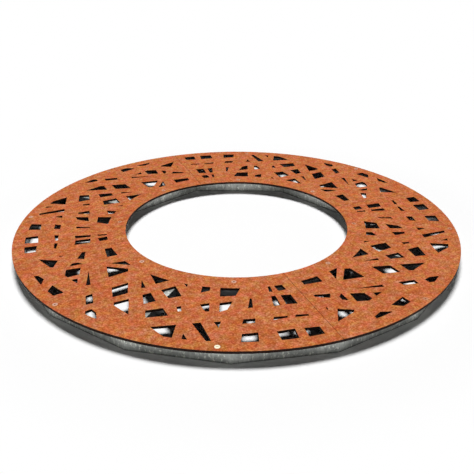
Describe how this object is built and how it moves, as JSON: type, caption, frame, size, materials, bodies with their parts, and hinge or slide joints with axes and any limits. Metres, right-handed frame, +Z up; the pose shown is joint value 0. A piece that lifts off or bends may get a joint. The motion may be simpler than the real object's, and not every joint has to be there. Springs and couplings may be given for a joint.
{
  "type": "tree grate",
  "caption": "Round tree grate: quarter plates of weathering steel with a random criss-cross of openings, screwed on a many-sided galvanised frame round a central tree opening.",
  "frame": {"origin": "on the ground at the centre of the tree opening", "axes": "+Z up through the tree opening; the four seams between the quarter plates lie along +X, +Y, -X and -Y"},
  "size_m": [1.5, 1.5, 0.053],
  "materials": {
    "weathering_steel": "stable orange-brown rust, matte and mottled",
    "galvanised_steel": "hot-dip galvanised, dull grey with faint spangle",
    "stainless_steel": "bright plain steel"
  },
  "bodies": {
    "root": {"inner_lug_back_left_1": "galvanised_steel", "inner_lug_back_left_2": "galvanised_steel", "inner_lug_back_right_1": "galvanised_steel", "inner_lug_back_right_2": "galvanised_steel", "inner_lug_front_left_1": "galvanised_steel", "inner_lug_front_left_2": "galvanised_steel", "inner_lug_front_right_1": "galvanised_steel", "inner_lug_front_right_2": "galvanised_steel", "inner_rim_back_left": "galvanised_steel", "inner_rim_back_right": "galvanised_steel", "inner_rim_front_left": "galvanised_steel", "inner_rim_front_right": "galvanised_steel", "joint_bolts": "galvanised_steel", "joint_nuts": "galvanised_steel", "joint_washers": "galvanised_steel", "mid_rib_back_left": "galvanised_steel", "mid_rib_back_right": "galvanised_steel", "mid_rib_front_left": "galvanised_steel", "mid_rib_front_right": "galvanised_steel", "outer_lug_back_left_1": "galvanised_steel", "outer_lug_back_left_2": "galvanised_steel", "outer_lug_back_right_1": "galvanised_steel", "outer_lug_back_right_2": "galvanised_steel", "outer_lug_front_left_1": "galvanised_steel", "outer_lug_front_left_2": "galvanised_steel", "outer_lug_front_right_1": "galvanised_steel", "outer_lug_front_right_2": "galvanised_steel", "outer_rim_back_left": "galvanised_steel", "outer_rim_back_right": "galvanised_steel", "outer_rim_front_left": "galvanised_steel", "outer_rim_front_right": "galvanised_steel", "plate_back_left": "weathering_steel", "plate_back_right": "weathering_steel", "plate_front_left": "weathering_steel", "plate_front_right": "weathering_steel", "plate_screws": "stainless_steel", "seam_rib_back_left_first": "galvanised_steel", "seam_rib_back_left_second": "galvanised_steel", "seam_rib_back_right_first": "galvanised_steel", "seam_rib_back_right_second": "galvanised_steel", "seam_rib_front_left_first": "galvanised_steel", "seam_rib_front_left_second": "galvanised_steel", "seam_rib_front_right_first": "galvanised_steel", "seam_rib_front_right_second": "galvanised_steel"}
  },
  "joints": []
}
